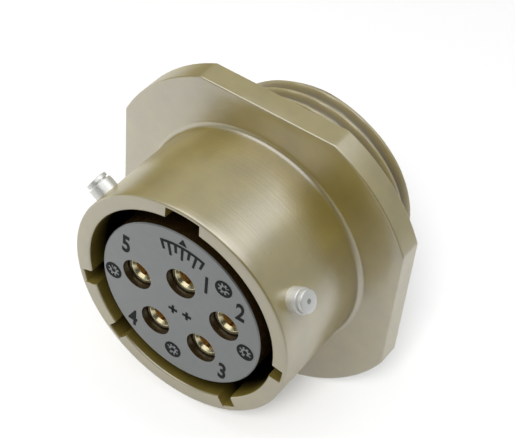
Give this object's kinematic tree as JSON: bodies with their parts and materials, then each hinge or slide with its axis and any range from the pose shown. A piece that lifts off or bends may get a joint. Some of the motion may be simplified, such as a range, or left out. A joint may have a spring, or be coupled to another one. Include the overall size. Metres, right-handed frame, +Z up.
{
  "type": "circular connector receptacle",
  "caption": "Circular connector half with a keyed barrel, bayonet pins, a square flange with turned corners, a threaded rear sleeve and socket contacts in an insulating insert.",
  "frame": {"origin": "centre of the front rim's face, on the connector's axis", "axes": "+Z up from the table, the front leans down towards -Y on the lower bayonet pin and the flange's lower front edge, +X to the right seen from the front, master keyway up"},
  "size_m": [0.029, 0.0248, 0.0288],
  "materials": {
    "shell": "olive drab plating, satin",
    "bayonet_pin": "bright turned steel",
    "front_insert": "dark grey moulded plastic",
    "rear_insert": "dark grey moulded plastic",
    "contact": "gold plating",
    "hood": "gold plating",
    "retaining_ring": "spring steel",
    "grommet": "moulded silicone rubber"
  },
  "bodies": {
    "root": {"shell": "shell", "bayonet_pin_right": "bayonet_pin", "bayonet_pin_left": "bayonet_pin", "bayonet_pin_lower": "bayonet_pin", "front_insert": "front_insert", "rear_insert": "rear_insert", "socket_contact_1": "contact", "socket_contact_2": "contact", "socket_contact_3": "contact", "socket_contact_4": "contact", "socket_contact_5": "contact", "contact_hood_1": "hood", "contact_hood_2": "hood", "contact_hood_3": "hood", "contact_hood_4": "hood", "contact_hood_5": "hood", "retaining_ring": "retaining_ring", "wire_grommet": "grommet"}
  },
  "joints": []
}
